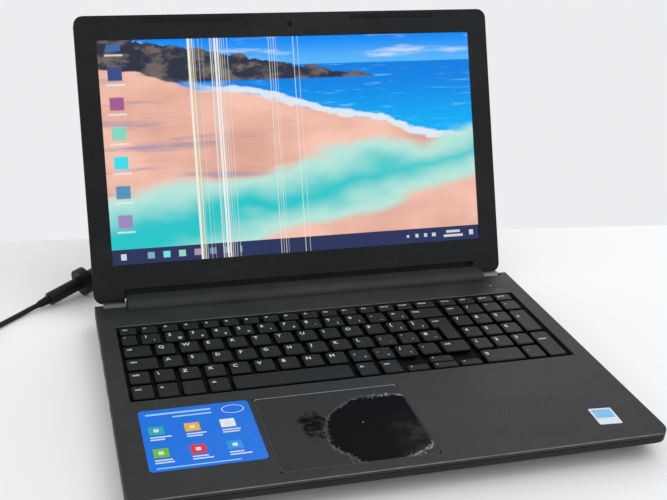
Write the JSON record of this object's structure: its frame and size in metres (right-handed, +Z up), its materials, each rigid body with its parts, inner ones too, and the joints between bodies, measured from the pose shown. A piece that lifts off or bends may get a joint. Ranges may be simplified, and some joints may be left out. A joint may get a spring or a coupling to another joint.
{
  "type": "broken laptop",
  "caption": "Open laptop with faulty, striped screen, number pad keyboard, worn touchpad, drives, battery, and a charger lead with coil and charger",
  "frame": {"origin": "centre of the bounding box of the laptop without its charger lead, on the surface it stands on", "axes": "+X to the right of someone using it, +Y to the back, +Z up"},
  "size_m": [0.5686, 0.418, 0.2424],
  "materials": {
    "case": "fine matte grain",
    "deck": "fine matte grain, dusty",
    "bezel": "satin",
    "gloss": "polished",
    "keys": "matte, worn legends",
    "pad": "matte, worn glossy patch",
    "screen": "lit panel with fault lines",
    "port": "matte moulded",
    "metal": "pressed sheet",
    "barrel": "satin highlight",
    "board": "coated board",
    "rubber": "matte",
    "cord": "matte moulded"
  },
  "bodies": {
    "base": {"bottom_case": "case", "palm_rest": "deck", "keyboard": "keys", "main_board": "board", "memory_module": "board", "fan_housing": "port", "heatsink": "metal", "hard_drive": "metal", "optical_drive": "metal", "battery_pack": "case", "speaker_left": "port", "speaker_right": "port", "ethernet_port": "port", "hdmi_port": "port", "usb_port_left_rear": "port", "usb_port_left_front": "port", "usb_port_right": "port", "audio_jack": "port", "power_inlet": "port", "foot_front_left": "rubber", "foot_front_right": "rubber", "foot_rear_left": "rubber", "foot_rear_right": "rubber", "hinge_leaf_left": "metal", "hinge_leaf_right": "metal", "inlet_plug": "cord", "tail_lead": "cord", "inline_socket": "cord", "charger_plug": "cord", "charger_lead": "cord", "lead_coil": "cord", "lead_end": "cord", "charger_brick": "cord"},
    "lid": {"lid_cover": "case", "screen_bezel": "bezel", "lcd_panel": "screen", "webcam": "gloss", "lid_bumper_left": "rubber", "lid_bumper_right": "rubber", "hinge_arm_left": "barrel", "hinge_arm_right": "barrel"},
    "key_backspace": {"key_backspace": "keys"},
    "key_tab": {"key_tab": "keys"},
    "key_caps": {"key_caps": "keys"},
    "key_shift_left": {"key_shift_left": "keys"},
    "key_shift_right": {"key_shift_right": "keys"},
    "key_space": {"key_space": "keys"},
    "key_up": {"key_up": "keys"},
    "key_down": {"key_down": "keys"},
    "key_pad_zero": {"key_pad_zero": "keys"},
    "key_pad_plus": {"key_pad_plus": "keys"},
    "key_pad_enter": {"key_pad_enter": "keys"},
    "key_enter": {"key_enter": "keys"},
    "touchpad": {"touchpad": "pad"},
    "power_button": {"power_button": "gloss"},
    "fan": {"fan_rotor": "port"},
    "tray": {"disc_tray": "deck"},
    "eject": {"eject_button": "gloss"},
    "latch": {"battery_latch": "port"}
  },
  "joints": [
    {"name": "lid_hinge", "type": "hinge", "parent": "base", "child": "lid", "pos_m": [0, 0.07028, 0.0155], "axis": [1, 0, 0], "range_deg": [-18, 114.3]},
    {"name": "key_backspace_press", "type": "slide", "parent": "base", "child": "key_backspace", "axis": [0, 0, -1], "range_m": [0, 0.0013], "stiffness_N_per_m": 300, "springref_m": -0.0002},
    {"name": "key_tab_press", "type": "slide", "parent": "base", "child": "key_tab", "axis": [0, 0, -1], "range_m": [0, 0.0013], "stiffness_N_per_m": 300, "springref_m": -0.0002},
    {"name": "key_caps_press", "type": "slide", "parent": "base", "child": "key_caps", "axis": [0, 0, -1], "range_m": [0, 0.0013], "stiffness_N_per_m": 300, "springref_m": -0.0002},
    {"name": "key_shift_left_press", "type": "slide", "parent": "base", "child": "key_shift_left", "axis": [0, 0, -1], "range_m": [0, 0.0013], "stiffness_N_per_m": 300, "springref_m": -0.0002},
    {"name": "key_shift_right_press", "type": "slide", "parent": "base", "child": "key_shift_right", "axis": [0, 0, -1], "range_m": [0, 0.0013], "stiffness_N_per_m": 300, "springref_m": -0.0002},
    {"name": "key_space_press", "type": "slide", "parent": "base", "child": "key_space", "axis": [0, 0, -1], "range_m": [0, 0.0013], "stiffness_N_per_m": 300, "springref_m": -0.0002},
    {"name": "key_up_press", "type": "slide", "parent": "base", "child": "key_up", "axis": [0, 0, -1], "range_m": [0, 0.0013], "stiffness_N_per_m": 300, "springref_m": -0.0002},
    {"name": "key_down_press", "type": "slide", "parent": "base", "child": "key_down", "axis": [0, 0, -1], "range_m": [0, 0.0013], "stiffness_N_per_m": 300, "springref_m": -0.0002},
    {"name": "key_pad_zero_press", "type": "slide", "parent": "base", "child": "key_pad_zero", "axis": [0, 0, -1], "range_m": [0, 0.0013], "stiffness_N_per_m": 300, "springref_m": -0.0002},
    {"name": "key_pad_plus_press", "type": "slide", "parent": "base", "child": "key_pad_plus", "axis": [0, 0, -1], "range_m": [0, 0.0013], "stiffness_N_per_m": 300, "springref_m": -0.0002},
    {"name": "key_pad_enter_press", "type": "slide", "parent": "base", "child": "key_pad_enter", "axis": [0, 0, -1], "range_m": [0, 0.0013], "stiffness_N_per_m": 300, "springref_m": -0.0002},
    {"name": "key_enter_press", "type": "slide", "parent": "base", "child": "key_enter", "axis": [0, 0, -1], "range_m": [0, 0.0013], "stiffness_N_per_m": 300, "springref_m": -0.0002},
    {"name": "touchpad_click", "type": "hinge", "parent": "base", "child": "touchpad", "pos_m": [-0.03475, -0.09252, 0.02073], "axis": [1, 0, 0], "range_deg": [0, 0.7], "stiffness_Nm_per_rad": 6, "springref_deg": -0.23},
    {"name": "power_button_press", "type": "slide", "parent": "base", "child": "power_button", "axis": [0, 0, -1], "range_m": [0, 0.0006], "stiffness_N_per_m": 500, "springref_m": -0.0002},
    {"name": "fan_spin", "type": "hinge", "parent": "base", "child": "fan", "pos_m": [-0.135, 0.02598, 0.005], "axis": [0, 0, 1], "continuous": true},
    {"name": "tray_slide", "type": "slide", "parent": "base", "child": "tray", "axis": [1, 0, 0], "range_m": [0, 0.125]},
    {"name": "eject_press", "type": "slide", "parent": "tray", "child": "eject", "axis": [-1, 0, 0], "range_m": [0, 0.0012], "stiffness_N_per_m": 300, "springref_m": -0.0002},
    {"name": "battery_latch_slide", "type": "slide", "parent": "base", "child": "latch", "axis": [1, 0, 0], "range_m": [0, 0.006], "stiffness_N_per_m": 150, "springref_m": -0.001}
  ]
}
